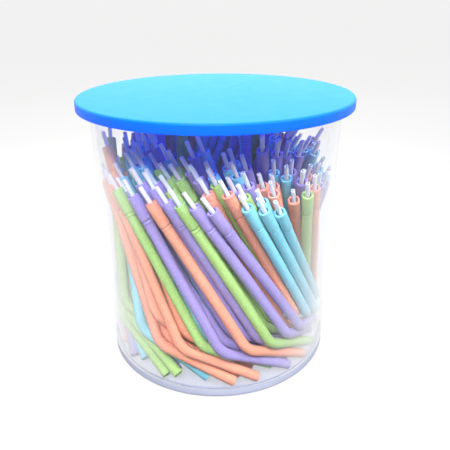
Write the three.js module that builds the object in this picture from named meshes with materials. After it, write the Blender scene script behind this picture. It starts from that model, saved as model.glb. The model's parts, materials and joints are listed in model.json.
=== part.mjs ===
// Round clear tub with an oversize flat lid, holding disposable bent syringe tips.
// Each tip is a coloured bent sleeve around a white inner tube. Units are millimetres,
// +Z is up, and the origin is the centre of the tub's underside.
// Profiles are lists of [radius, z] points.
import * as THREE from "three";

// ---- tub ------------------------------------------------------------------
const TUB_R_BASE = 44.3; // outside radius at the base
const TUB_R_TOP = 45.6; // outside radius at the rim: the wall has a slight draft
const TUB_WALL = 1.2;
const TUB_H = 100.2; // rim height
const TUB_FLOOR = 2.5; // thickness of the base
const TUB_EDGE = 1.4; // rounded bottom edge
const TUB_EDGE_STEPS = 3;
const TUB_FILLET = 0.9; // inside corner, kept clear of the tips' ends
const TUB_FILLET_STEPS = 2;
const RIM_BEVEL = 0.4;
const TUB_SEG = 64;

// ---- lid ------------------------------------------------------------------
const LID_OVERHANG = 4.4; // beyond the tub's rim, all round
const LID_R = TUB_R_TOP + LID_OVERHANG;
const LID_GAP = 0.4; // between the rim and the plate's underside
const LID_PLATE = 1.8; // thickness of the plate
const LID_UNDER = TUB_H + LID_GAP;
const LID_TOP = LID_UNDER + LID_PLATE;
const SKIRT_H = 3.55; // full height of the lid's edge
const SKIRT_WALL = 1.6;
const SKIRT_BEVEL = 0.25; // outer bottom edge
const LID_ROUND = 0.9; // rounded top edge
const LID_ROUND_STEPS = 3;
const LID_SEG = 72;

// Two rings under the plate locate the lid: one inside the tub's rim, one outside it.
const RING_GAP = 0.3; // room between the tub's wall and each ring
const RING_WALL = 1.3;
const RING_DEPTH = 3.3; // measured down from the lid's top face
const INNER_BEVEL = { width: 0.35, height: 0.5 }; // edges that face the tub's wall
const OUTER_BEVEL = { width: 0.25, height: 0.3 };

// ---- one tip --------------------------------------------------------------
// A tip's own frame: the origin is the top of its hub, +Z runs up its straight
// shaft, and the bent leg points down and towards +X.
const SHAFT = 64; // hub top to the corner where shaft and leg would meet
const LEG = 31; // that corner to the leg's end
const BEND = Math.PI / 4;
const BEND_R = 10;
const BEND_STEPS = 3;

const HUB_R = 2.05;
const HUB_BEVEL = 0.2;
const HUB_LEN = 9.1;
const NECK_R = 1.68; // groove under the hub
const NECK_LEN = 0.8;
const BEAD_R = 1.96; // small bead below the groove
const BEAD_LEN = 0.5;
const BODY_R = 1.9;
const BORE_R = 1.3;
const SLEEVE_SEG = 10;

const TUBE_R = 0.75;
const TUBE_BORE_R = 0.36;
const TUBE_OUT = 6; // how far the inner tube stands out of the hub
const TUBE_IN = 0.6; // how far it stops inside the leg's end
const TUBE_SEG = 6;

const TANGENT = BEND_R * Math.tan(BEND / 2);
const STRAIGHT = SHAFT - TANGENT; // hub top to the start of the bend
const ARC = BEND_R * BEND;
const TIP_LEN = STRAIGHT + ARC + LEG - TANGENT; // along the centre line

// ---- where the tips stand -------------------------------------------------
// Columns: sleeve colour, hub top (x, y, z), turn as a quaternion (x, y, z, w).

// Lean one way round the tub like a twisted bundle, legs low along the wall.
const WALL_TIPS = [
  ["orange", [-37.399, -17.208, 73.458], [-0.208643, -0.160612, 0.161922, 0.951027]],
  ["green", [-34.373, -23.531, 74.070], [-0.202454, -0.174162, 0.326037, 0.906852]],
  ["purple", [-27.726, -31.374, 74.542], [-0.150087, -0.191116, 0.307026, 0.920154]],
  ["orange", [-21.641, -35.230, 73.524], [-0.150975, -0.211859, 0.425991, 0.866518]],
  ["purple", [-16.213, -37.349, 74.452], [-0.119929, -0.221033, 0.515830, 0.818951]],
  ["green", [-11.895, -39.581, 74.297], [-0.115411, -0.221522, 0.514811, 0.820108]],
  ["purple", [-7.231, -41.101, 74.097], [-0.124366, -0.240932, 0.635812, 0.722653]],
  ["purple", [-1.525, -41.576, 72.735], [-0.106271, -0.267009, 0.670710, 0.683784]],
  ["orange", [3.404, -37.706, 76.830], [-0.092798, -0.232076, 0.774966, 0.580480]],
  ["cyan", [9.502, -40.458, 73.303], [-0.068110, -0.266153, 0.787263, 0.552033]],
  ["cyan", [15.093, -38.812, 71.694], [-0.047084, -0.278117, 0.789283, 0.545406]],
  ["cyan", [20.440, -36.012, 69.930], [-0.041159, -0.306073, 0.852214, 0.422322]],
  ["orange", [26.043, -28.301, 71.133], [-0.016379, -0.323687, 0.923131, 0.206853]],
  ["green", [30.670, -28.042, 72.873], [0.046900, -0.254157, 0.886530, 0.383757]],
  ["orange", [33.564, -24.918, 74.188], [0.037426, -0.245650, 0.889972, 0.382367]],
  ["purple", [35.784, -19.867, 73.307], [0.044563, -0.266690, 0.925660, 0.264659]],
  ["purple", [38.815, -15.068, 72.443], [0.067554, -0.282557, 0.943586, 0.158883]],
  ["cyan", [40.341, -9.625, 73.236], [0.070193, -0.290424, 0.954268, -0.010006]],
  ["cyan", [38.644, 8.764, 73.559], [0.119622, -0.254226, 0.946855, -0.156608]],
  ["orange", [25.679, 26.427, 77.739], [0.155873, -0.186572, 0.874722, -0.419233]],
  ["purple", [1.702, 38.891, 74.546], [-0.234868, 0.114199, -0.713273, 0.650414]],
  ["purple", [-19.388, 33.943, 81.520], [-0.245633, 0.072544, -0.307295, 0.916500]],
  ["green", [-38.534, 16.210, 73.408], [-0.249999, -0.066926, -0.249192, 0.933233]],
  ["orange", [-40.253, -4.441, 83.638], [-0.269976, -0.039718, 0.375190, 0.885871]],
  ["orange", [-40.929, -8.140, 72.566], [-0.227948, -0.141873, 0.054474, 0.961740]],
];

// Stand nearly upright nearer the middle.
const LOOSE_TIPS = [
  ["orange", [-9.398, 11.586, 91.324], [-0.010829, 0.038974, -0.453397, 0.890390]],
  ["green", [-12.113, -8.240, 91.487], [0.006564, 0.027336, -0.066991, 0.997357]],
  ["purple", [10.772, -0.927, 93.712], [-0.045798, 0.062599, 0.931527, 0.355305]],
  ["cyan", [9.625, 9.652, 92.302], [-0.076603, 0.078033, 0.958948, 0.261653]],
];

// ---- materials ------------------------------------------------------------
const MATERIALS = {
  clear: { color: 0xe6ecf6, roughness: 0.08, metalness: 0, transparent: true, opacity: 0.22 },
  lid: { color: 0x35aef8, roughness: 0.38, metalness: 0 },
  orange: { color: 0xf7a67c, roughness: 0.55, metalness: 0 },
  green: { color: 0xa6dc78, roughness: 0.55, metalness: 0 },
  purple: { color: 0xa594dc, roughness: 0.55, metalness: 0 },
  cyan: { color: 0x7fd6ec, roughness: 0.55, metalness: 0 },
  white: { color: 0xf4f5fa, roughness: 0.45, metalness: 0 },
};

// ---- helpers --------------------------------------------------------------
const group = new THREE.Group();

function add(name, geometry, look) {
  const mesh = new THREE.Mesh(geometry, new THREE.MeshStandardMaterial(MATERIALS[look]));
  mesh.name = name;
  group.add(mesh);
  return mesh;
}

function lathe(profile, segments) {
  const points = profile.map(([radius, z]) => new THREE.Vector2(radius, z));
  const geometry = new THREE.LatheGeometry(points, segments);
  geometry.rotateX(Math.PI / 2); // the lathe's own axis is Y: stand it on Z
  return geometry;
}

// Profile points along an arc about [centreR, centreZ].
function arcPoints(centreR, centreZ, radius, from, to, steps) {
  const points = [];
  for (let i = 0; i <= steps; i++) {
    const angle = from + ((to - from) * i) / steps;
    points.push([centreR + radius * Math.cos(angle), centreZ + radius * Math.sin(angle)]);
  }
  return points;
}

// Carries a point of a straight tip (its axis on Z, hub top at z = 0) onto the bent centre line.
function bendPoint(point) {
  const depth = -point.z;
  if (depth <= STRAIGHT) return;
  const angle = Math.min(depth - STRAIGHT, ARC) / BEND_R;
  const past = Math.max(0, depth - STRAIGHT - ARC); // distance beyond the bend
  const sin = Math.sin(angle);
  const cos = Math.cos(angle);
  const centreX = BEND_R * (1 - cos) + past * sin;
  const centreZ = -STRAIGHT - BEND_R * sin - past * cos;
  point.set(centreX + point.x * cos, point.y, centreZ + point.x * sin);
}

function bentLathe(profile, segments) {
  const geometry = lathe(profile, segments);
  const { position } = geometry.attributes;
  const point = new THREE.Vector3();
  for (let i = 0; i < position.count; i++) {
    point.fromBufferAttribute(position, i);
    bendPoint(point);
    position.setXYZ(i, point.x, point.y, point.z);
  }
  geometry.computeVertexNormals();
  return geometry;
}

// Profile points down the length of the bend, so that the straight lathe can follow it.
function bendStations(radius) {
  const points = [];
  for (let i = 0; i <= BEND_STEPS; i++) {
    points.push([radius, -(STRAIGHT + (ARC * i) / BEND_STEPS)]);
  }
  return points;
}

// ---- the tub: one thin wall on a thick flat base ----------------------------
function addTub() {
  const rimInner = TUB_R_TOP - TUB_WALL;
  const filletR = TUB_R_BASE - TUB_WALL - TUB_FILLET;
  const filletZ = TUB_FLOOR + TUB_FILLET;
  const profile = [
    [0, 0],
    ...arcPoints(TUB_R_BASE - TUB_EDGE, TUB_EDGE, TUB_EDGE, -Math.PI / 2, 0, TUB_EDGE_STEPS),
    [TUB_R_TOP, TUB_H - RIM_BEVEL],
    [TUB_R_TOP - RIM_BEVEL, TUB_H],
    [rimInner + RIM_BEVEL, TUB_H],
    [rimInner, TUB_H - RIM_BEVEL],
    ...arcPoints(filletR, filletZ, TUB_FILLET, 0, -Math.PI / 2, TUB_FILLET_STEPS),
    [0, TUB_FLOOR],
  ];
  add("clear_tub", lathe(profile, TUB_SEG), "clear");
}

// ---- the lid: flat plate, short skirt, and two rings that straddle the tub's rim ----
function addLid() {
  const innerRing = TUB_R_TOP - TUB_WALL - RING_GAP; // its outside radius
  const outerRing = TUB_R_TOP + RING_GAP; // its inside radius
  const ringBottom = LID_TOP - RING_DEPTH;
  const skirtBottom = LID_TOP - SKIRT_H;
  const roundR = LID_R - LID_ROUND;
  const roundZ = LID_TOP - LID_ROUND;
  const profile = [
    [0, LID_UNDER],
    [innerRing - RING_WALL, LID_UNDER],
    [innerRing - RING_WALL, ringBottom],
    [innerRing - INNER_BEVEL.width, ringBottom],
    [innerRing, ringBottom + INNER_BEVEL.height],
    [innerRing, LID_UNDER],
    [outerRing, LID_UNDER],
    [outerRing, ringBottom + OUTER_BEVEL.height],
    [outerRing + OUTER_BEVEL.width, ringBottom],
    [outerRing + RING_WALL, ringBottom],
    [outerRing + RING_WALL, LID_UNDER],
    [LID_R - SKIRT_WALL, LID_UNDER],
    [LID_R - SKIRT_WALL, skirtBottom],
    [LID_R - SKIRT_BEVEL, skirtBottom],
    [LID_R, skirtBottom + SKIRT_BEVEL],
    ...arcPoints(roundR, roundZ, LID_ROUND, 0, Math.PI / 2, LID_ROUND_STEPS),
    [0, LID_TOP],
  ];
  add("lid", lathe(profile, LID_SEG), "lid");
}

// ---- the tips: a sleeve and its inner tube each ------------------------------
// Each profile closes on itself: up the outside, over the top, down the bore.
const NECK_END = -HUB_LEN - NECK_LEN;
const SLEEVE_PROFILE = [
  [BODY_R, -TIP_LEN],
  ...bendStations(BODY_R).reverse(),
  [BODY_R, NECK_END - 2 * BEAD_LEN],
  [BEAD_R, NECK_END - BEAD_LEN / 2],
  [NECK_R, -HUB_LEN - NECK_LEN / 2],
  [HUB_R, -HUB_LEN],
  [HUB_R, -HUB_BEVEL],
  [HUB_R - HUB_BEVEL, 0],
  [BORE_R, 0],
  ...bendStations(BORE_R),
  [BORE_R, -TIP_LEN],
  [BODY_R, -TIP_LEN],
];
const TUBE_END = -TIP_LEN + TUBE_IN;
const TUBE_PROFILE = [
  [TUBE_R, TUBE_END],
  ...bendStations(TUBE_R).reverse(),
  [TUBE_R, TUBE_OUT],
  [TUBE_BORE_R, TUBE_OUT],
  ...bendStations(TUBE_BORE_R),
  [TUBE_BORE_R, TUBE_END],
  [TUBE_R, TUBE_END],
];

function addTips(kind, tips, firstNumber) {
  tips.forEach(([colour, hubTop, turn], index) => {
    const id = `${kind}_${String(firstNumber + index).padStart(2, "0")}`;
    const sleeve = bentLathe(SLEEVE_PROFILE, SLEEVE_SEG);
    const tube = bentLathe(TUBE_PROFILE, TUBE_SEG);
    for (const mesh of [
      add(`${id}_sleeve_${colour}`, sleeve, colour),
      add(`${id}_inner_tube`, tube, "white"),
    ]) {
      mesh.position.set(...hubTop);
      mesh.quaternion.set(...turn);
    }
  });
}

addTub();
addLid();
addTips("tip", WALL_TIPS, 1);
addTips("loose", LOOSE_TIPS, WALL_TIPS.length + 1);

export default group;
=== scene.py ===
"""A clear round tub with a blue lid, packed with bent tips in four colours.

The tub stands on z = 0 with its axis on Z; its front, where the camera is, faces -Y.
Each tip is a coloured sleeve on a white inner tube. Pieces are worked out in millimetres
and made in metres; floor, lights and camera are set out in lid radii.
"""
import json
import math

import bpy
import numpy as np
from mathutils import Matrix, Quaternion, Vector


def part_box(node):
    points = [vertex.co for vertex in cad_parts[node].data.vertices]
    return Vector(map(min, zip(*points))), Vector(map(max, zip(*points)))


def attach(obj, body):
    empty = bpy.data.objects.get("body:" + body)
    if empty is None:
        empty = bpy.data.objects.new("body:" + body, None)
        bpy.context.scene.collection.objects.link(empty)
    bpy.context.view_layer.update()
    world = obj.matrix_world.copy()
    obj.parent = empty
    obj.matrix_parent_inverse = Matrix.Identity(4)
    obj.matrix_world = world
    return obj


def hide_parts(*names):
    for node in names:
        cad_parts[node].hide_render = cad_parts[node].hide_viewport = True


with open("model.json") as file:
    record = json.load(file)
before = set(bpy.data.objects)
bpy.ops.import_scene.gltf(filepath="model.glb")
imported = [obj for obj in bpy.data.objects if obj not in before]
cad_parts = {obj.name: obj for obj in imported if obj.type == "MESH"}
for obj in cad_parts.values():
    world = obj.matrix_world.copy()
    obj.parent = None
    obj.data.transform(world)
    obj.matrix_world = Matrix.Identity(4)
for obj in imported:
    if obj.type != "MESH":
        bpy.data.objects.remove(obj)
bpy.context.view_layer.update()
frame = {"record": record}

MM = 0.001
QUARTER = math.pi / 2
ROOT = "tub_with_standing_tips"
BODY_OF = {n: body for body, ns in frame["record"]["behaviour"]["bodies"].items() for n in ns}

# One tip, in its own frame: hub top at the origin, shaft down -Z, leg bent towards +X
SHAFT = 64.0
LEG = 31.0
BEND = math.pi / 4
BEND_R = 10.0
TANGENT = BEND_R * math.tan(BEND / 2)
STRAIGHT = SHAFT - TANGENT
ARC = BEND_R * BEND
TIP_LENGTH = STRAIGHT + ARC + LEG - TANGENT
SLEEVE_R = 1.9
SLEEVE_BORE = 1.3
HUB_R = 2.05
TUBE_R = 0.75
TUBE_BORE = 0.36
TUBE_TOP = 6.0  # above the hub top
TUBE_RECESS = 0.6  # of the tube's foot inside the sleeve's
BOX_TOLERANCE = 0.0006  # metres between a tip and its solid

# Tub and lid; their radii and heights come from the solids' boxes
DRAFT = 1.3
WALL = 1.2
FLOOR = 2.5
BASE_ROUND = 1.4
RIM_ROUND = 0.4
FLOOR_ROUND = 0.9
LID_DECK = 1.8
LID_GAP = 0.3  # between the tub wall and the ring on either side of it
RING_WIDTH = 1.3
RING_DEPTH = 3.3  # below the lid top
SKIRT_WIDTH = 1.6
SKIRT_ROUND = 0.25
LID_ROUND = 0.9

# linear RGB
SLEEVE_COLOURS = {
    "orange": (0.89, 0.37, 0.25),
    "green": (0.42, 0.67, 0.22),
    "purple": (0.36, 0.30, 0.66),
    "cyan": (0.25, 0.70, 0.85),
}

# Tips that are solids: node prefix, sleeve colour, hub top (mm), turn (w, x, y, z)
STANDING = [
    ("tip_01", "orange", (-37.399, -17.208, 73.458), (0.951027, -0.208643, -0.160612, 0.161922)),
    ("tip_02", "green", (-34.373, -23.531, 74.070), (0.906852, -0.202454, -0.174162, 0.326037)),
    ("tip_03", "purple", (-27.726, -31.374, 74.542), (0.920154, -0.150087, -0.191116, 0.307026)),
    ("tip_04", "orange", (-21.641, -35.230, 73.524), (0.866518, -0.150975, -0.211859, 0.425991)),
    ("tip_05", "purple", (-16.213, -37.349, 74.452), (0.818951, -0.119929, -0.221033, 0.515830)),
    ("tip_06", "green", (-11.895, -39.581, 74.297), (0.820108, -0.115411, -0.221522, 0.514811)),
    ("tip_07", "purple", (-7.231, -41.101, 74.097), (0.722653, -0.124366, -0.240932, 0.635812)),
    ("tip_08", "purple", (-1.525, -41.576, 72.735), (0.683784, -0.106271, -0.267009, 0.670710)),
    ("tip_09", "orange", (3.404, -37.706, 76.830), (0.580480, -0.092798, -0.232076, 0.774966)),
    ("tip_10", "cyan", (9.502, -40.458, 73.303), (0.552033, -0.068110, -0.266153, 0.787263)),
    ("tip_11", "cyan", (15.093, -38.812, 71.694), (0.545406, -0.047084, -0.278117, 0.789283)),
    ("tip_12", "cyan", (20.440, -36.012, 69.930), (0.422322, -0.041159, -0.306073, 0.852214)),
    ("tip_13", "orange", (26.043, -28.301, 71.133), (0.206853, -0.016379, -0.323687, 0.923131)),
    ("tip_14", "green", (30.670, -28.042, 72.873), (0.383757, 0.046900, -0.254157, 0.886530)),
    ("tip_15", "orange", (33.564, -24.918, 74.188), (0.382367, 0.037426, -0.245650, 0.889972)),
    ("tip_16", "purple", (35.784, -19.867, 73.307), (0.264659, 0.044563, -0.266690, 0.925660)),
    ("tip_17", "purple", (38.815, -15.068, 72.443), (0.158883, 0.067554, -0.282557, 0.943586)),
    ("tip_18", "cyan", (40.341, -9.625, 73.236), (-0.010006, 0.070193, -0.290424, 0.954268)),
    ("tip_19", "cyan", (38.644, 8.764, 73.559), (-0.156608, 0.119622, -0.254226, 0.946855)),
    ("tip_20", "orange", (25.679, 26.427, 77.739), (-0.419233, 0.155873, -0.186572, 0.874722)),
    ("tip_21", "purple", (1.702, 38.891, 74.546), (0.650414, -0.234868, 0.114199, -0.713273)),
    ("tip_22", "purple", (-19.388, 33.943, 81.520), (0.916500, -0.245633, 0.072544, -0.307295)),
    ("tip_23", "green", (-38.534, 16.210, 73.408), (0.933233, -0.249999, -0.066926, -0.249192)),
    ("tip_24", "orange", (-40.253, -4.441, 83.638), (0.885871, -0.269976, -0.039718, 0.375190)),
    ("tip_25", "orange", (-40.929, -8.140, 72.566), (0.961740, -0.227948, -0.141873, 0.054474)),
    ("loose_26", "orange", (-9.398, 11.586, 91.324), (0.890390, -0.010829, 0.038974, -0.453397)),
    ("loose_27", "green", (-12.113, -8.240, 91.487), (0.997357, 0.006564, 0.027336, -0.066991)),
    ("loose_28", "purple", (10.772, -0.927, 93.712), (0.355305, -0.045798, 0.062599, 0.931527)),
    ("loose_29", "cyan", (9.625, 9.652, 92.302), (0.261653, -0.076603, 0.078033, 0.958948)),
]
# The rest of the bundle: sleeve colour, hub top (mm), turn (w, x, y, z)
BUNDLE = [
    ("cyan", (35.712, -8.692, 82.137), (-0.300251, -0.017274, -0.306776, 0.903017)),
    ("cyan", (38.936, -2.843, 74.330), (-0.000155, 0.085219, -0.272528, 0.958366)),
    ("purple", (39.357, 9.004, 82.070), (0.391859, -0.076073, 0.265454, -0.877607)),
    ("cyan", (33.492, 23.685, 75.902), (-0.178297, 0.159487, -0.165367, 0.956780)),
    ("orange", (33.575, 21.610, 86.196), (0.476826, -0.122020, 0.210426, -0.844671)),
    ("green", (24.472, 33.901, 78.332), (-0.247558, 0.162232, -0.104838, 0.949423)),
    ("green", (22.378, 26.813, 81.139), (0.532913, -0.138014, 0.181246, -0.814927)),
    ("purple", (12.492, 39.871, 81.746), (-0.330521, 0.137222, -0.057055, 0.932025)),
    ("cyan", (12.416, 35.322, 78.239), (-0.464133, 0.175001, -0.129178, 0.858643)),
    ("purple", (7.230, 36.684, 77.024), (0.559393, -0.198169, 0.126897, -0.794799)),
    ("orange", (-4.429, 39.629, 73.875), (0.716083, -0.258031, 0.094773, -0.641610)),
    ("green", (-9.356, 39.124, 75.616), (0.806671, -0.260273, 0.088614, -0.523152)),
    ("orange", (-16.839, 37.268, 72.776), (0.806701, -0.275540, 0.046632, -0.520708)),
    ("purple", (-32.192, 26.729, 77.004), (0.846746, -0.208168, -0.034004, -0.488397)),
    ("purple", (-33.762, 24.842, 81.401), (0.963729, -0.255069, 0.037236, -0.069129)),
    ("green", (-41.273, 7.697, 83.991), (0.971800, -0.229229, -0.029235, 0.046952)),
    ("cyan", (-39.467, 9.725, 70.405), (0.939620, -0.326369, -0.056079, 0.086333)),
    ("green", (8.864, -36.682, 75.344), (0.469325, -0.085951, -0.259073, 0.839779)),
    ("cyan", (14.805, -34.752, 73.036), (0.456187, -0.052937, -0.277600, 0.843818)),
    ("orange", (18.548, -32.870, 75.198), (0.312225, -0.048867, -0.273948, 0.908339)),
    ("orange", (19.342, -26.383, 75.425), (0.280509, -0.035048, -0.272286, 0.919754)),
    ("purple", (29.056, -24.330, 76.275), (0.077136, -0.016377, -0.296218, 0.951859)),
    ("purple", (30.429, -17.918, 74.371), (0.069139, 0.001521, -0.295132, 0.952951)),
    ("orange", (32.779, -13.259, 74.732), (-0.052681, 0.023687, -0.296935, 0.953149)),
    ("purple", (36.312, -7.694, 73.805), (-0.078205, 0.066362, -0.298053, 0.949023)),
    ("cyan", (34.900, 6.846, 75.290), (-0.145306, 0.115308, -0.236316, 0.953806)),
    ("cyan", (32.231, 12.393, 75.678), (-0.362111, 0.132919, -0.244596, 0.889596)),
    ("purple", (33.763, 16.645, 74.930), (-0.322480, 0.146187, -0.236959, 0.904702)),
    ("green", (17.957, 31.532, 79.592), (-0.533868, 0.158879, -0.160725, 0.814807)),
    ("orange", (14.102, 28.821, 78.802), (-0.566640, 0.163690, -0.185140, 0.786033)),
    ("green", (6.154, 32.841, 79.125), (0.628162, -0.182699, 0.138018, -0.743629)),
    ("cyan", (0.825, 34.144, 77.765), (0.687968, -0.210021, 0.119300, -0.684367)),
    ("green", (-3.271, 33.856, 79.412), (0.786734, -0.211965, 0.118601, -0.567498)),
    ("purple", (-9.082, 35.482, 78.500), (0.838640, -0.241256, 0.088152, -0.480321)),
    ("cyan", (-14.998, 33.582, 75.989), (0.840928, -0.256729, 0.059329, -0.472663)),
    ("green", (-22.567, 27.341, 77.162), (0.907636, -0.252402, 0.046943, -0.332095)),
    ("cyan", (-27.780, 25.401, 76.516), (0.908657, -0.261667, 0.022272, -0.324618)),
    ("purple", (-30.968, 18.533, 74.052), (0.943119, -0.275186, -0.023019, -0.185121)),
    ("green", (-34.447, 15.185, 74.277), (0.942359, -0.279823, -0.045853, -0.177642)),
    ("cyan", (-35.766, 9.881, 73.690), (0.943543, -0.305016, -0.045355, 0.120978)),
    ("orange", (-38.659, -2.503, 71.968), (0.951742, -0.257006, -0.129202, 0.106970)),
    ("orange", (-35.945, -5.144, 73.938), (0.892632, -0.297676, -0.096056, 0.324607)),
    ("cyan", (-34.077, -12.849, 74.382), (0.867556, -0.268892, -0.136849, 0.395369)),
    ("purple", (-31.892, -20.096, 71.611), (0.852147, -0.253074, -0.182568, 0.420080)),
    ("purple", (-25.213, -28.855, 77.774), (0.821429, -0.161430, -0.176608, 0.517691)),
    ("purple", (-20.751, -31.522, 77.201), (0.823173, -0.151725, -0.185324, 0.514801)),
    ("green", (-15.452, -30.761, 75.972), (0.747894, -0.168798, -0.205028, 0.608379)),
    ("green", (-12.343, -28.845, 79.188), (0.717337, -0.157495, -0.193845, 0.650421)),
    ("orange", (-3.022, -35.430, 76.433), (0.747804, -0.089404, -0.214920, 0.621776)),
    ("cyan", (8.990, 29.626, 78.444), (0.642147, -0.191145, 0.141875, -0.728685)),
    ("cyan", (1.237, 30.282, 81.426), (0.768940, -0.179812, 0.131141, -0.599334)),
    ("cyan", (-4.829, 30.121, 81.109), (0.824414, -0.195569, 0.102141, -0.521212)),
    ("purple", (-10.787, 31.710, 79.827), (0.908270, -0.232185, 0.098260, -0.333888)),
    ("purple", (-17.932, 26.628, 82.452), (0.930862, -0.213649, 0.053774, -0.291475)),
    ("cyan", (-25.796, 22.249, 78.806), (0.942311, -0.225403, -0.012888, -0.247138)),
    ("cyan", (-23.025, 14.427, 81.150), (0.942075, -0.204841, 0.011996, -0.265315)),
    ("cyan", (-30.613, 11.339, 79.064), (0.971314, -0.219613, -0.048462, -0.077276)),
    ("purple", (-34.509, 5.728, 80.900), (0.927635, -0.250561, -0.033210, 0.274971)),
    ("cyan", (-33.681, 0.364, 80.153), (0.925681, -0.244463, -0.056495, 0.283127)),
    ("green", (-29.952, -3.988, 80.125), (0.924760, -0.234528, -0.069695, 0.291476)),
    ("purple", (-29.007, -9.801, 78.450), (0.900963, -0.226712, -0.110915, 0.352939)),
    ("cyan", (-28.990, -16.910, 79.608), (0.793806, -0.226083, -0.129800, 0.549463)),
    ("green", (-26.095, -24.698, 76.499), (0.745292, -0.203408, -0.186625, 0.606907)),
    ("purple", (-20.563, -27.229, 77.111), (0.750612, -0.188661, -0.185958, 0.605317)),
    ("green", (-16.137, -25.622, 78.472), (0.715812, -0.167624, -0.185805, 0.651914)),
    ("purple", (-6.044, -31.797, 79.973), (0.565603, -0.129111, -0.200551, 0.789432)),
    ("green", (-0.399, -33.087, 78.930), (0.558276, -0.111734, -0.213809, 0.793807)),
    ("purple", (5.628, -33.553, 76.678), (0.471447, -0.085627, -0.246409, 0.842430)),
    ("purple", (10.135, -33.808, 78.430), (0.299243, -0.087720, -0.256574, 0.914838)),
    ("orange", (15.091, -30.581, 77.013), (0.287272, -0.054395, -0.267826, 0.918034)),
    ("cyan", (23.817, -24.148, 77.590), (0.095926, -0.029676, -0.271003, 0.957327)),
    ("purple", (25.833, -20.177, 78.544), (0.034729, -0.015718, -0.278987, 0.959538)),
    ("purple", (30.373, -8.238, 81.306), (0.026762, 0.065131, -0.175976, 0.981873)),
    ("purple", (25.585, -7.581, 81.054), (0.004276, 0.038652, -0.205585, 0.977866)),
    ("green", (34.877, 0.856, 78.402), (-0.336065, 0.075063, -0.261530, 0.901680)),
    ("orange", (30.909, 3.952, 78.478), (-0.342063, 0.086881, -0.255127, 0.900197)),
    ("purple", (29.825, 12.326, 81.093), (-0.494223, 0.107767, -0.227413, 0.832114)),
    ("cyan", (28.307, 17.563, 79.958), (-0.568840, 0.141444, -0.232588, 0.776091)),
    ("cyan", (23.079, 21.767, 80.528), (-0.564221, 0.148092, -0.210849, 0.784389)),
    ("purple", (17.007, 25.374, 78.272), (-0.566138, 0.167626, -0.187990, 0.784888)),
    ("purple", (13.321, 24.525, 80.998), (-0.627560, 0.155203, -0.164683, 0.744956)),
    ("purple", (-25.256, -5.504, 82.283), (0.942031, -0.186559, -0.076678, 0.268132)),
    ("cyan", (-26.079, -13.326, 81.963), (0.843856, -0.183206, -0.114016, 0.491267)),
    ("cyan", (-25.272, -20.363, 81.092), (0.733703, -0.185225, -0.156776, 0.634660)),
    ("green", (-19.998, -20.727, 80.367), (0.731404, -0.181581, -0.157228, 0.638245)),
    ("green", (-13.488, -24.034, 82.342), (0.599493, -0.165123, -0.161491, 0.766331)),
    ("purple", (-8.790, -28.293, 81.616), (0.501397, -0.146803, -0.199156, 0.829088)),
    ("cyan", (-1.266, -29.001, 80.180), (0.499735, -0.117229, -0.207941, 0.832636)),
    ("cyan", (6.472, -30.911, 80.859), (0.296600, -0.089309, -0.224866, 0.923844)),
    ("purple", (9.797, -25.763, 81.580), (0.293762, -0.072387, -0.219062, 0.927618)),
    ("cyan", (19.534, -23.235, 79.263), (0.151859, -0.017063, -0.241936, 0.958183)),
    ("purple", (20.901, -18.687, 84.367), (-0.042448, -0.033624, -0.213015, 0.975547)),
    ("purple", (21.748, -13.450, 83.448), (-0.086532, -0.000622, -0.210062, 0.973851)),
    ("cyan", (32.830, -3.632, 81.930), (-0.339374, 0.064181, -0.238042, 0.907768)),
    ("cyan", (28.249, -1.375, 81.225), (-0.350155, 0.052126, -0.243487, 0.902988)),
    ("purple", (28.122, 8.366, 83.560), (-0.516977, 0.093553, -0.186755, 0.830124)),
    ("cyan", (23.990, 9.486, 84.879), (-0.529665, 0.068437, -0.195384, 0.822555)),
    ("cyan", (20.439, 13.165, 84.254), (-0.536531, 0.088540, -0.182120, 0.819223)),
    ("orange", (19.294, 20.054, 81.707), (-0.661763, 0.137875, -0.196676, 0.710196)),
    ("orange", (10.256, 20.329, 84.093), (-0.651265, 0.129600, -0.151768, 0.732136)),
    ("cyan", (6.068, 29.110, 82.587), (0.802739, -0.184239, 0.121947, -0.553891)),
    ("cyan", (0.743, 26.271, 83.723), (0.807861, -0.159135, 0.127311, -0.553018)),
    ("cyan", (-8.254, 27.489, 82.799), (0.882798, -0.185001, 0.071918, -0.425757)),
    ("orange", (-14.245, 28.501, 81.011), (0.946413, -0.226980, 0.058584, -0.222151)),
    ("purple", (-16.126, 22.164, 81.522), (0.947466, -0.215189, 0.041706, -0.232941)),
    ("cyan", (-21.972, 20.426, 79.279), (0.965421, -0.251782, 0.016386, -0.065563)),
    ("purple", (-26.907, 12.006, 84.522), (0.954005, -0.218006, 0.014165, 0.205299)),
    ("green", (-30.256, 5.479, 82.771), (0.943786, -0.214664, -0.038749, 0.248367)),
    ("cyan", (-28.396, 0.874, 82.371), (0.941255, -0.211263, -0.051426, 0.258385)),
    ("purple", (-21.926, -6.272, 85.585), (0.866533, -0.172075, -0.062042, 0.464394)),
    ("purple", (-21.290, -11.310, 85.209), (0.714611, -0.191702, -0.090430, 0.666637)),
    ("cyan", (-16.410, -20.257, 83.496), (0.631344, -0.157950, -0.144388, 0.745392)),
    ("purple", (-7.811, -24.403, 85.427), (0.449239, -0.109651, -0.151023, 0.873701)),
    ("cyan", (-4.374, -21.740, 86.401), (0.441709, -0.122844, -0.137320, 0.878035)),
    ("cyan", (3.702, -27.770, 82.688), (0.300043, -0.075820, -0.201560, 0.929300)),
    ("cyan", (5.858, -23.584, 82.790), (0.300862, -0.074067, -0.199917, 0.929532)),
    ("purple", (15.497, -22.065, 86.728), (-0.014650, -0.044129, -0.182388, 0.982126)),
    ("orange", (16.126, -17.176, 86.098), (-0.016091, -0.036675, -0.179744, 0.982898)),
    ("cyan", (21.139, -8.039, 87.363), (-0.280837, -0.001838, -0.169921, 0.944592)),
    ("purple", (22.230, -3.314, 86.628), (-0.292205, 0.014795, -0.172368, 0.940578)),
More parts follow.
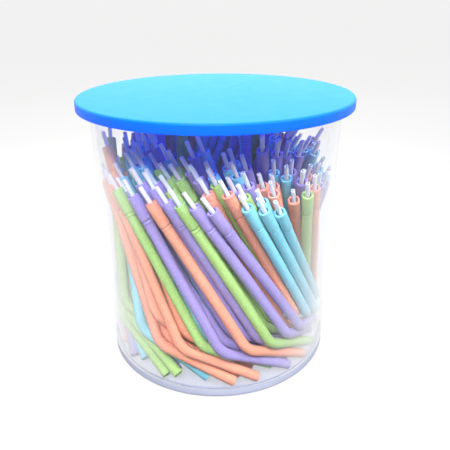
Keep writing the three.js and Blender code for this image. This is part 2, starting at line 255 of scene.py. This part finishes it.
    ("orange", (24.372, 3.135, 86.284), (-0.508738, 0.058160, -0.169656, 0.842033)),
    ("purple", (20.750, 6.491, 85.629), (-0.524688, 0.078693, -0.157125, 0.832959)),
    ("green", (17.701, 10.209, 86.120), (-0.555758, 0.100883, -0.144789, 0.812398)),
    ("purple", (13.894, 12.567, 86.757), (-0.586471, 0.072476, -0.149548, 0.792739)),
    ("purple", (9.876, 15.680, 85.716), (0.609750, -0.099172, 0.129958, -0.775552)),
    ("cyan", (6.159, 25.459, 86.297), (0.880767, -0.157089, 0.139388, -0.424433)),
    ("cyan", (-3.303, 24.291, 84.923), (0.877289, -0.157278, 0.085819, -0.445267)),
    ("green", (-11.528, 24.212, 83.809), (0.940840, -0.176043, 0.031170, -0.287849)),
    ("cyan", (-12.377, 19.718, 83.791), (0.940908, -0.176565, 0.031700, -0.287249)),
    ("orange", (-18.713, 15.405, 87.405), (0.981722, -0.164549, 0.033631, 0.089519)),
    ("purple", (-22.188, 9.851, 86.368), (0.982763, -0.159596, -0.002329, 0.093278)),
    ("cyan", (-25.610, 4.474, 84.176), (0.963409, -0.172086, -0.048780, 0.199623)),
    ("purple", (-22.865, -1.504, 84.354), (0.968476, -0.152212, -0.059888, 0.187881)),
]


# ---------------------------------------------------------------------------
# Meshes: a shape is (vertices in mm, faces)
def revolve(profile, segments, closed):
    """Turn a profile of (radius, z) about Z. A closed profile joins its last point to its first."""
    verts, faces, rings = [], [], []
    for radius, z in profile:
        if radius < 1e-9:
            rings.append([len(verts)])
            verts.append((0.0, 0.0, z))
            continue
        rings.append(list(range(len(verts), len(verts) + segments)))
        for k in range(segments):
            angle = 2 * math.pi * k / segments
            verts.append((radius * math.cos(angle), radius * math.sin(angle), z))
    pairs = list(zip(rings[:-1], rings[1:]))
    if closed:
        pairs.append((rings[-1], rings[0]))
    for a, b in pairs:
        for k in range(segments):
            after = (k + 1) % segments
            if len(a) == 1:
                faces.append((a[0], b[after], b[k]))
            elif len(b) == 1:
                faces.append((a[k], a[after], b[0]))
            else:
                faces.append((a[k], a[after], b[after], b[k]))
    return np.array(verts, float), faces


def arc(centre_r, centre_z, radius, start, end, steps):
    """Profile points on an arc from one angle to another."""
    angles = [start + (end - start) * i / steps for i in range(steps + 1)]
    return [(centre_r + radius * math.cos(a), centre_z + radius * math.sin(a)) for a in angles]


def bent(shape):
    """Bend a straight tip so that its leg leans towards +X."""
    verts, faces = shape
    depth = -verts[:, 2]
    angle = np.clip(depth - STRAIGHT, 0, ARC) / BEND_R
    along = np.maximum(0, depth - STRAIGHT - ARC)
    axis_x = BEND_R * (1 - np.cos(angle)) + along * np.sin(angle)
    axis_z = -STRAIGHT - BEND_R * np.sin(angle) - along * np.cos(angle)
    result = verts.copy()
    low = depth > STRAIGHT
    result[low, 0] = (axis_x + verts[:, 0] * np.cos(angle))[low]
    result[low, 2] = (axis_z + verts[:, 0] * np.sin(angle))[low]
    return result, faces


def through_bend(radius, steps):
    """Profile points down through the bend."""
    return [(radius, -(STRAIGHT + ARC * i / steps)) for i in range(steps + 1)]


def sleeve_shape(segments, steps):
    foot = -TIP_LENGTH
    profile = [(1.72, foot), (1.84, foot + 0.06), (SLEEVE_R, foot + 0.2)]
    profile += through_bend(SLEEVE_R, steps)[::-1]
    profile += [
        # shaft up to a shallow groove
        (SLEEVE_R, -30.0), (SLEEVE_R, -11.7), (1.89, -11.2), (1.84, -10.9), (1.80, -10.7),
        # bead and deeper groove
        (1.83, -10.5), (1.92, -10.35), (1.96, -10.12), (1.93, -9.92), (1.81, -9.78),
        (1.70, -9.62), (1.68, -9.45), (1.73, -9.28), (1.91, -9.12), (2.03, -8.95),
        # hub and its rounded top, into the bore
        (HUB_R, -8.7), (HUB_R, -0.35), (2.02, -0.15), (1.93, -0.03), (1.82, 0.0),
        (1.5, 0.0), (1.38, -0.06), (1.32, -0.22), (SLEEVE_BORE, -0.6),
    ]
    profile += through_bend(SLEEVE_BORE, max(4, steps // 2))
    profile += [(SLEEVE_BORE, foot + 0.15), (1.42, foot)]
    return bent(revolve(profile, segments, closed=True))


def tube_shape(segments, steps):
    foot = -TIP_LENGTH + TUBE_RECESS
    profile = [(0.68, foot), (TUBE_R, foot + 0.08)]
    profile += through_bend(TUBE_R, steps)[::-1]
    profile += [
        (TUBE_R, TUBE_TOP - 0.14), (0.72, TUBE_TOP - 0.04), (0.66, TUBE_TOP),
        (0.42, TUBE_TOP), (TUBE_BORE, TUBE_TOP - 0.08),
    ]
    profile += through_bend(TUBE_BORE, max(4, steps // 2))
    profile += [(TUBE_BORE, foot)]
    return bent(revolve(profile, segments, closed=True))


def placed(shape, at, turn):
    verts, faces = shape
    rotation = np.array(Quaternion(turn).to_matrix())
    return verts @ rotation.T + np.array(at), faces


def joined(parts):
    """Many (shape, tone) pairs as one shape and its tone at each vertex."""
    all_verts, all_faces, tones = [], [], []
    base = 0
    for (verts, faces), tone in parts:
        all_verts.append(verts)
        all_faces += [tuple(i + base for i in face) for face in faces]
        tones.append(np.full(len(verts), tone))
        base += len(verts)
    return (np.vstack(all_verts), all_faces), np.concatenate(tones)


def make_object(name, shape, tone=None):
    verts, faces = shape
    mesh = bpy.data.meshes.new(name)
    mesh.from_pydata((verts * MM).tolist(), [], faces)
    mesh.validate()
    mesh.shade_smooth()
    if tone is not None:
        attribute = mesh.attributes.new("tip_tone", "FLOAT", "POINT")
        attribute.data.foreach_set("value", np.asarray(tone, np.float32))
    mesh.update()
    ob = bpy.data.objects.new(name, mesh)
    bpy.context.scene.collection.objects.link(ob)
    mesh.set_sharp_from_angle(angle=math.radians(32))
    return ob


def finish_piece(ob, body, material, cad_node=None):
    ob.data.materials.append(material)
    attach(ob, body)
    if cad_node:
        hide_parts(cad_node)


# ---------------------------------------------------------------------------
# Shader helpers
def node(tree, kind, inputs=None, **settings):
    """Add a node. An input given a socket is linked to it; any other is set."""
    made = tree.nodes.new(kind)
    for name, value in settings.items():
        setattr(made, name, value)
    for key, value in (inputs or {}).items():
        if isinstance(value, bpy.types.NodeSocket):
            tree.links.new(value, made.inputs[key])
        else:
            made.inputs[key].default_value = value
    return made


def new_material(name):
    material = bpy.data.materials.new(name)
    material.use_nodes = True
    material.node_tree.nodes.clear()
    return material, material.node_tree


def set_surface(tree, shader):
    node(tree, "ShaderNodeOutputMaterial", {"Surface": shader.outputs[0]})


def coordinates(tree, kind="Object"):
    return node(tree, "ShaderNodeTexCoord").outputs[kind]


def noise(tree, scale, detail=2.0, roughness=0.5):
    inputs = {"Vector": coordinates(tree), "Scale": scale, "Detail": detail,
              "Roughness": roughness}
    return node(tree, "ShaderNodeTexNoise", inputs).outputs["Fac"]


def remap(tree, value, target, source=(0.0, 1.0)):
    inputs = {"Value": value, "From Min": source[0], "From Max": source[1],
              "To Min": target[0], "To Max": target[1]}
    return node(tree, "ShaderNodeMapRange", inputs).outputs["Result"]


def mottle(tree, target, **noise_values):
    """Noise spread over the target range."""
    return remap(tree, noise(tree, **noise_values), target, source=(0.3, 0.7))


def calc(tree, operation, a, b):
    return node(tree, "ShaderNodeMath", {0: a, 1: b}, operation=operation).outputs[0]


def scaled(tree, colour, factor):
    inputs = {0: colour, "Scale": factor}
    return node(tree, "ShaderNodeVectorMath", inputs, operation="SCALE").outputs[0]


def length(tree, vector):
    made = node(tree, "ShaderNodeVectorMath", {0: vector}, operation="LENGTH")
    return made.outputs["Value"]


def bump(tree, strength, distance, **noise_values):
    inputs = {"Strength": strength, "Distance": distance, "Height": noise(tree, **noise_values)}
    return node(tree, "ShaderNodeBump", inputs).outputs["Normal"]


def mix(tree, factor, first, second):
    inputs = {0: factor, 1: first.outputs[0], 2: second.outputs[0]}
    return node(tree, "ShaderNodeMixShader", inputs)


# ---------------------------------------------------------------------------
# Materials
def sleeve_material(name, rgb):
    """Soft matte moulded plastic: pigment speckle, cloudy tone and a faint grain."""
    material, tree = new_material(name)
    speckle = mottle(tree, target=(0.85, 1.10), scale=2300, detail=1.0, roughness=0.4)
    cloud = mottle(tree, target=(0.965, 1.03), scale=120)
    tip_tone = node(tree, "ShaderNodeAttribute", attribute_name="tip_tone").outputs["Fac"]
    tone = calc(tree, "MULTIPLY", calc(tree, "MULTIPLY", speckle, cloud), tip_tone)
    set_surface(tree, node(tree, "ShaderNodeBsdfPrincipled", {
        "Base Color": scaled(tree, rgb, tone),
        "Roughness": mottle(tree, target=(0.46, 0.62), scale=700),
        "Normal": bump(tree, strength=0.22, distance=0.00004, scale=5200, roughness=0.6),
        "Subsurface Weight": 0.25,
        "Subsurface Radius": (1.0, 0.8, 0.8),
        "Subsurface Scale": 0.0008,
        "Specular IOR Level": 0.4,
    }))
    return material


def tube_material():
    """Milky white plastic that lets some light through."""
    material, tree = new_material("inner_tube_white")
    tone = mottle(tree, target=(0.94, 1.0), scale=300)
    plastic = node(tree, "ShaderNodeBsdfPrincipled", {
        "Base Color": scaled(tree, (0.90, 0.90, 0.93), tone),
        "Roughness": 0.32,
        "Normal": bump(tree, strength=0.12, distance=0.00003, scale=1800),
        "Subsurface Weight": 0.3,
        "Subsurface Scale": 0.0008,
    })
    through = node(tree, "ShaderNodeBsdfTranslucent", {"Color": (0.85, 0.87, 0.95, 1)})
    set_surface(tree, mix(tree, 0.22, plastic, through))
    return material


def lid_material():
    """Blue plastic, painted paler at grazing angles to stand in for light on its top and skirt
    ends; light that lands on it glows blue below.
    """
    material, tree = new_material("lid_blue")
    # painted light: the blue is mixed to a paler blue at grazing angles, standing in for the
    # brighter light on the lid's top and on the ends of its skirt
    facing = node(tree, "ShaderNodeLayerWeight", {"Blend": 0.5}).outputs["Facing"]
    blue = node(tree, "ShaderNodeMix", {
        "A": (0.004, 0.186, 0.84, 1),
        "B": (0.045, 0.355, 1.0, 1),
        "Factor": calc(tree, "POWER", facing, 4.0),
    }, data_type="RGBA").outputs["Result"]
    tone = mottle(tree, target=(0.99, 1.01), scale=40, detail=3.0)
    plastic = node(tree, "ShaderNodeBsdfPrincipled", {
        "Base Color": scaled(tree, blue, tone),
        "Roughness": mottle(tree, target=(0.36, 0.42), scale=260, detail=3.0),
        "Normal": bump(tree, strength=0.08, distance=0.00003, scale=2200, roughness=0.6),
    })
    through = node(tree, "ShaderNodeBsdfTranslucent", {"Color": (0.0, 0.27, 1.0, 1)})
    set_surface(tree, mix(tree, 0.42, plastic, through))
    return material


def tub_material():
    """Clear plastic, with a painted whitish haze towards its sides, glossy at grazing angles,
    lavender at the base.
    """
    material, tree = new_material("tub_clear")
    place = node(tree, "ShaderNodeSeparateXYZ", {0: coordinates(tree)}).outputs
    height = place["Z"]
    edge = node(tree, "ShaderNodeLayerWeight", {"Blend": 0.5}).outputs["Facing"]

    # haze: a painted whitening standing in for the pale surroundings reflected at the sides; lit
    # like anything else near the lid, and lower down mostly a painted glow from an emission
    dull = node(tree, "ShaderNodeBsdfDiffuse", {"Color": (0.93, 0.94, 1.0, 1)})
    painted_glow = node(tree, "ShaderNodeEmission", {"Color": (0.985, 0.99, 1.0, 1), "Strength": 0.96})
    painted_glow_share = remap(tree, height, source=(0.070, 0.096), target=(1.0, 0.6))
    painted_haze = mix(tree, painted_glow_share, dull, painted_glow)

    # only the camera sees the painted haze, which is painted thinner towards the top, where the lid
    # shades the tub
    camera_ray = node(tree, "ShaderNodeLightPath").outputs["Is Camera Ray"]
    amount = remap(tree, edge, source=(0.33, 0.86), target=(0.0, 0.46))
    for factor in (
        camera_ray,
        remap(tree, height, source=(0.068, 0.088), target=(1.0, 0.35)),
        mottle(tree, target=(0.88, 1.0), scale=45),
    ):
        amount = calc(tree, "MULTIPLY", amount, factor)
    clear = node(tree, "ShaderNodeBsdfTransparent", {"Color": (0.985, 0.988, 0.995, 1)})
    hazy = mix(tree, amount, clear, painted_haze)

    gloss = node(tree, "ShaderNodeBsdfGlossy", {
        "Color": (1, 1, 1, 1),
        "Roughness": mottle(tree, target=(0.03, 0.07), scale=60),
        "Normal": bump(tree, strength=0.05, distance=0.0001, scale=90),
    })
    sheen = remap(tree, calc(tree, "POWER", edge, 5.0), target=(0.02, 0.75))
    walls = mix(tree, sheen, hazy, gloss)

    # lavender on the base, strongest round its rim
    flat = node(tree, "ShaderNodeCombineXYZ", {"X": place["X"], "Y": place["Y"]}).outputs[0]
    rim = remap(tree, length(tree, flat), target=(0.22, 0.66),
                source=((base_radius - 3.0) * MM, (base_radius - 1.2) * MM))
    floor_top = FLOOR * MM
    low = remap(tree, height, source=(floor_top * 1.35, floor_top * 1.8), target=(1.0, 0.0))
    lavender = node(tree, "ShaderNodeBsdfDiffuse", {"Color": (0.47, 0.51, 0.74, 1)})
    set_surface(tree, mix(tree, calc(tree, "MULTIPLY", low, rim), walls, lavender))
    return material


def floor_material():
    """Pale sweep that mostly glows by itself, with a little lit so that shadows show."""
    material, tree = new_material("floor_white")
    tone = mottle(tree, target=(0.97, 1.0), scale=3)
    lit = node(tree, "ShaderNodeBsdfDiffuse", {"Color": scaled(tree, (0.05, 0.05, 0.05), tone)})

    # distance on a log scale from 1 to 100 lid radii; on it the glow is a painted falloff of light,
    # brighter near the tub, dimmest some way off and a little brighter again far out
    radii = calc(tree, "DIVIDE", length(tree, coordinates(tree)), lid_unit)
    reach = calc(tree, "LOGARITHM", calc(tree, "MAXIMUM", radii, 1.0), 100.0)
    sweep = node(tree, "ShaderNodeValToRGB", {0: reach})
    # place on that scale, brightness
    stops = [(0.13, 0.912), (0.30, 0.886), (0.46, 0.842), (0.65, 0.875), (1.0, 0.885)]
    elements = sweep.color_ramp.elements
    while len(elements) < len(stops):
        elements.new(0.5)
    for element, (position, level) in zip(elements, stops):
        element.position = position
        element.color = (level, level, level * 0.997, 1)

    diffuse_ray = node(tree, "ShaderNodeLightPath").outputs["Is Diffuse Ray"]
    glow = node(tree, "ShaderNodeEmission", {
        "Color": sweep.outputs["Color"],
        "Strength": remap(tree, diffuse_ray, target=(1.0, 0.16)),
    })
    both = {0: lit.outputs[0], 1: glow.outputs[0]}
    set_surface(tree, node(tree, "ShaderNodeAddShader", both))
    return material


# ---------------------------------------------------------------------------
# Tips
sleeve_materials = {c: sleeve_material("sleeve_" + c, rgb) for c, rgb in SLEEVE_COLOURS.items()}
inner_tube_material = tube_material()
rng = np.random.default_rng(21)


def build_standing_tips():
    """One sleeve and one tube for each solid tip."""
    sleeve = sleeve_shape(segments=28, steps=14)
    tube = tube_shape(segments=18, steps=14)
    for prefix, colour, at, turn in STANDING:
        sleeve_name = "sleeve_" + colour
        for part, shape, material, slot in (
            (sleeve_name, sleeve, sleeve_materials[colour], sleeve_name),
            ("inner_tube", tube, inner_tube_material, "inner_tube_white"),
        ):
            cad_node = prefix + "_" + part
            verts, faces = placed(shape, at, turn)
            lo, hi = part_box(cad_node)
            off = np.abs(np.array([verts.min(0), verts.max(0)]) * MM - np.array([lo, hi])).max()
            if off > BOX_TOLERANCE:
                raise RuntimeError("%s is %.2f mm from its solid" % (cad_node, off / MM))
            tone = np.full(len(verts), rng.uniform(0.95, 1.04))
            ob = make_object("visual_" + cad_node, (verts, faces), tone)
            finish_piece(ob, BODY_OF[cad_node], material, cad_node)


def build_bundle():
    """The other tips: one piece for each sleeve colour and one for all the tubes."""
    sleeve = sleeve_shape(segments=18, steps=8)
    tube = tube_shape(segments=12, steps=8)
    for colour, material in sleeve_materials.items():
        shape, tone = joined([(placed(sleeve, at, turn), rng.uniform(0.93, 1.04))
                              for c, at, turn in BUNDLE if c == colour])
        ob = make_object("bundle_sleeves_" + colour, shape, tone)
        finish_piece(ob, ROOT, material)
    shape, tone = joined([(placed(tube, at, turn), 1.0) for _, at, turn in BUNDLE])
    ob = make_object("bundle_inner_tubes", shape, tone)
    finish_piece(ob, ROOT, inner_tube_material)


build_standing_tips()
build_bundle()

# ---------------------------------------------------------------------------
# Tub and lid
tub_hi = np.array(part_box("clear_tub")[1]) / MM
lid_lo, lid_hi = (np.array(corner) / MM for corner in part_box("lid"))
rim_radius, tub_height = tub_hi[0], tub_hi[2]
base_radius = rim_radius - DRAFT
lid_radius, lid_top, lid_bottom = lid_hi[0], lid_hi[2], lid_lo[2]
lid_unit = lid_radius * MM  # metres


def build_tub():
    rim_z = tub_height - RIM_ROUND
    profile = (
        [(0, 0)]
        + arc(base_radius - BASE_ROUND, BASE_ROUND, BASE_ROUND, -QUARTER, 0, 8)
        + arc(rim_radius - RIM_ROUND, rim_z, RIM_ROUND, 0, QUARTER, 4)
        + arc(rim_radius - WALL + RIM_ROUND, rim_z, RIM_ROUND, QUARTER, 2 * QUARTER, 4)
        + arc(base_radius - WALL - FLOOR_ROUND, FLOOR + FLOOR_ROUND, FLOOR_ROUND, 0, -QUARTER, 5)
        + [(0, FLOOR)]
    )
    ob = make_object("visual_clear_tub", revolve(profile, segments=160, closed=False))
    finish_piece(ob, ROOT, tub_material(), "clear_tub")


def build_lid():
    """A deck with a ring on either side of the tub wall and a skirt at its edge."""
    under = lid_top - LID_DECK
    ring_foot = lid_top - RING_DEPTH
    plug = rim_radius - WALL - LID_GAP  # outside of the ring within the tub
    grip = rim_radius + LID_GAP  # inside of the ring round the tub
    skirt = lid_radius - SKIRT_WIDTH
    profile = (
        [(0, under), (plug - RING_WIDTH, under), (plug - RING_WIDTH, ring_foot + 0.1)]
        + [(plug - 1.15, ring_foot), (plug - 0.35, ring_foot), (plug, lid_top - 2.8)]
        + [(plug, under), (grip, under), (grip, lid_top - 3.0), (grip + 0.25, ring_foot)]
        + [(grip + 1.15, ring_foot), (grip + RING_WIDTH, ring_foot + 0.15)]
        + [(grip + RING_WIDTH, under), (skirt, under)]
        + [(skirt, lid_bottom + 0.15), (skirt + 0.15, lid_bottom)]
        + arc(lid_radius - SKIRT_ROUND, lid_bottom + SKIRT_ROUND, SKIRT_ROUND, -QUARTER, 0, 4)
        + arc(lid_radius - LID_ROUND, lid_top - LID_ROUND, LID_ROUND, 0, QUARTER, 8)
        + [(0, lid_top)]
    )
    ob = make_object("visual_lid", revolve(profile, segments=192, closed=False))
    finish_piece(ob, "lid", lid_material(), "lid")


build_tub()
build_lid()

# ---------------------------------------------------------------------------
# Stage, lights and camera; lengths in lid radii
FLOOR_REACH = 600
FLOOR_CELLS = 24
FLOOR_DROP = 0.00005  # metres below the tub
# name, place, target, disk diameter, watts
LIGHTS = [
    ("overhead", (0, 1.5, 12), (0, 0, 1), 7, 7.6),
    ("key", (-1.6, -7.4, 9.2), (0, 0, 1), 4.5, 4.5),
    ("fill", (6.4, -4.6, 7.6), (0.3, 0, 1), 4, 2.2),
    ("back", (-1.0, 7.4, 8.6), (0, 0, 1), 4.5, 3.0),
]
CAMERA_PLACE = (0.0036, -3.8508, 2.7027)
PITCH, YAW, ROLL = 0.41820, 0.0150, 0.0070  # radians: down, to the right of +Y, about the view


def in_metres(place):
    return Vector([x * lid_unit for x in place])


def build_floor():
    mesh = bpy.data.meshes.new("floor")
    ticks = np.linspace(-FLOOR_REACH * lid_unit, FLOOR_REACH * lid_unit, FLOOR_CELLS + 1)
    row = FLOOR_CELLS + 1
    corners = [j * row + i for j in range(FLOOR_CELLS) for i in range(FLOOR_CELLS)]
    mesh.from_pydata([(x, y, 0.0) for y in ticks for x in ticks], [],
                     [(c, c + 1, c + row + 1, c + row) for c in corners])
    ob = bpy.data.objects.new("floor", mesh)
    ob.location.z = -FLOOR_DROP
    bpy.context.scene.collection.objects.link(ob)
    mesh.materials.append(floor_material())


def add_light(name, place, target, size, watts):
    data = bpy.data.lights.new(name, "AREA")
    data.shape = "DISK"
    data.size = size * lid_unit
    data.energy = watts
    ob = bpy.data.objects.new(name, data)
    ob.location = in_metres(place)
    ob.rotation_mode = "QUATERNION"
    ob.rotation_quaternion = (in_metres(target) - in_metres(place)).to_track_quat("-Z", "Y")
    bpy.context.scene.collection.objects.link(ob)
    ob.visible_glossy = False


def build_world():
    """Brighter behind the tub than behind the camera, and evenly pale when seen directly."""
    world = bpy.data.worlds.new("studio")
    bpy.context.scene.world = world
    world.use_nodes = True
    tree = world.node_tree
    way = node(tree, "ShaderNodeSeparateXYZ", {0: coordinates(tree, "Generated")}).outputs["Y"]
    behind = remap(tree, way, source=(-0.6, 0.8), target=(0.28, 1.25))
    ray = node(tree, "ShaderNodeLightPath").outputs
    dimmed = remap(tree, ray["Is Diffuse Ray"], target=(1.0, 0.08))
    lit = calc(tree, "MULTIPLY", behind, dimmed)
    seen = calc(tree, "MAXIMUM", ray["Is Camera Ray"], ray["Is Transmission Ray"])
    strength = calc(tree, "MAXIMUM", lit, remap(tree, seen, target=(0.0, 0.88)))
    sky = tree.nodes["Background"]
    tree.links.new(strength, sky.inputs["Strength"])
    sky.inputs["Color"].default_value = (0.98, 0.99, 1.0, 1)


def build_camera():
    sin, cos = math.sin, math.cos
    level_right = Vector((cos(YAW), -sin(YAW), 0))
    ahead = Vector((sin(YAW) * cos(PITCH), cos(YAW) * cos(PITCH), -sin(PITCH)))
    level_up = Vector((sin(YAW) * sin(PITCH), cos(YAW) * sin(PITCH), cos(PITCH)))
    right = cos(ROLL) * level_right - sin(ROLL) * level_up
    up = sin(ROLL) * level_right + cos(ROLL) * level_up
    pose = Matrix((right, up, -ahead)).transposed().to_4x4()
    pose.translation = in_metres(CAMERA_PLACE)

    data = bpy.data.cameras.new("camera")
    data.lens = 41.6
    data.sensor_width = 36.0
    data.clip_start = 0.01
    data.clip_end = 50
    ob = bpy.data.objects.new("camera", data)
    ob.matrix_world = pose
    bpy.context.scene.collection.objects.link(ob)
    bpy.context.scene.camera = ob


build_floor()
for light in LIGHTS:
    add_light(*light)
build_world()
build_camera()
bpy.context.scene.view_settings.view_transform = "Standard"
